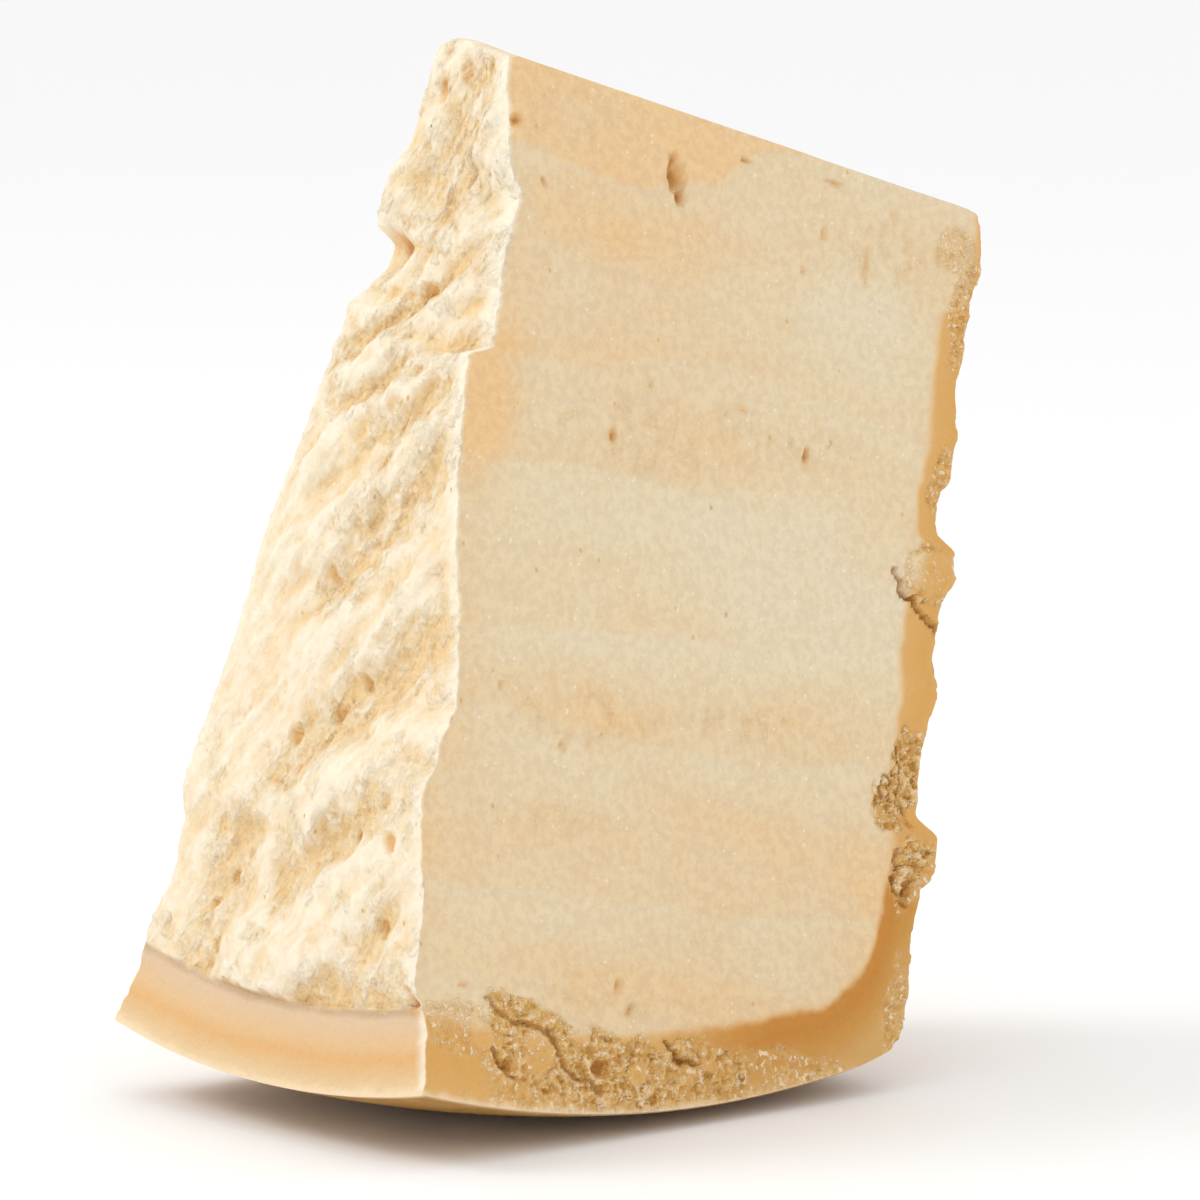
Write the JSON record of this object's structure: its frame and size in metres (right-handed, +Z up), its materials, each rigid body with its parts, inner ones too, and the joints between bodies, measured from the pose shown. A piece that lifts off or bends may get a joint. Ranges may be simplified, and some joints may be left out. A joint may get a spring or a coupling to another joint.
{
  "type": "cheese wedge",
  "caption": "Wedge of aged hard cheese standing on its curved rind, one face broken and rough, the others cut.",
  "frame": {"origin": "under the middle of the bounding box, on the table that the wedge stands on", "axes": "+Z up, towards the wedge's tip; +X across the wedge's thickness, out of its near cut face; -Y out of the broken face and +Y towards the flat rind"},
  "size_m": [0.0808, 0.1364, 0.1641],
  "materials": {
    "cheese": "granular aged cheese, cream broken face, straw cut faces, golden brown rind"
  },
  "bodies": {
    "root": {"cheese_wedge": "cheese"}
  },
  "joints": []
}
